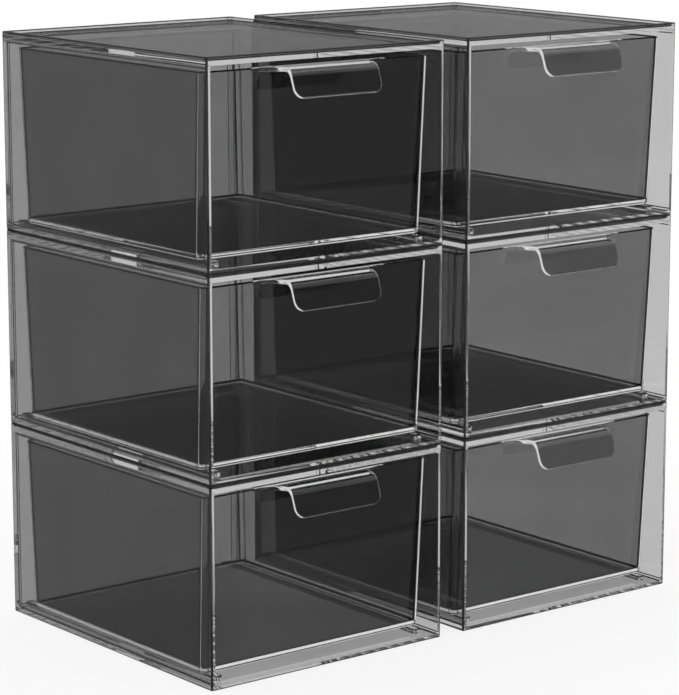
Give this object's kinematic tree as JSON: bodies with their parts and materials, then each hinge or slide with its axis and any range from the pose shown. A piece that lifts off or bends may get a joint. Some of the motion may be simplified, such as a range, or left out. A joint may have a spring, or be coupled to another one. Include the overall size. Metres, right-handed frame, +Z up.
{
  "type": "stackable drawer organizer",
  "caption": "Two free-standing stacks of clear smoke-grey acrylic boxes, each with one pull-out drawer with a curled handle.",
  "frame": {"origin": "on the ground, under the middle of the two stacks' bounding box", "axes": "+Z up, drawers pull out towards -Y, +X from the left stack to the right stack"},
  "size_m": [0.341, 0.208, 0.342],
  "materials": {
    "smoke_acrylic_housing": "transparent smoke-grey moulded acrylic, polished on every face",
    "smoke_acrylic_drawer": "transparent smoke-grey moulded acrylic, polished on every face"
  },
  "bodies": {
    "stacks": {"housing_left_bottom": "smoke_acrylic_housing", "housing_left_middle": "smoke_acrylic_housing", "housing_left_top": "smoke_acrylic_housing", "housing_right_bottom": "smoke_acrylic_housing", "housing_right_middle": "smoke_acrylic_housing", "housing_right_top": "smoke_acrylic_housing"},
    "left_bottom_drawer": {"drawer_left_bottom": "smoke_acrylic_drawer"},
    "left_middle_drawer": {"drawer_left_middle": "smoke_acrylic_drawer"},
    "left_top_drawer": {"drawer_left_top": "smoke_acrylic_drawer"},
    "right_bottom_drawer": {"drawer_right_bottom": "smoke_acrylic_drawer"},
    "right_middle_drawer": {"drawer_right_middle": "smoke_acrylic_drawer"},
    "right_top_drawer": {"drawer_right_top": "smoke_acrylic_drawer"}
  },
  "joints": [
    {"name": "left_bottom_slide", "type": "slide", "parent": "stacks", "child": "left_bottom_drawer", "axis": [0, -1, 0], "range_m": [0, 0.15]},
    {"name": "left_middle_slide", "type": "slide", "parent": "stacks", "child": "left_middle_drawer", "axis": [0, -1, 0], "range_m": [0, 0.15]},
    {"name": "left_top_slide", "type": "slide", "parent": "stacks", "child": "left_top_drawer", "axis": [0, -1, 0], "range_m": [0, 0.15]},
    {"name": "right_bottom_slide", "type": "slide", "parent": "stacks", "child": "right_bottom_drawer", "axis": [0, -1, 0], "range_m": [0, 0.15]},
    {"name": "right_middle_slide", "type": "slide", "parent": "stacks", "child": "right_middle_drawer", "axis": [0, -1, 0], "range_m": [0, 0.15]},
    {"name": "right_top_slide", "type": "slide", "parent": "stacks", "child": "right_top_drawer", "axis": [0, -1, 0], "range_m": [0, 0.15]}
  ]
}
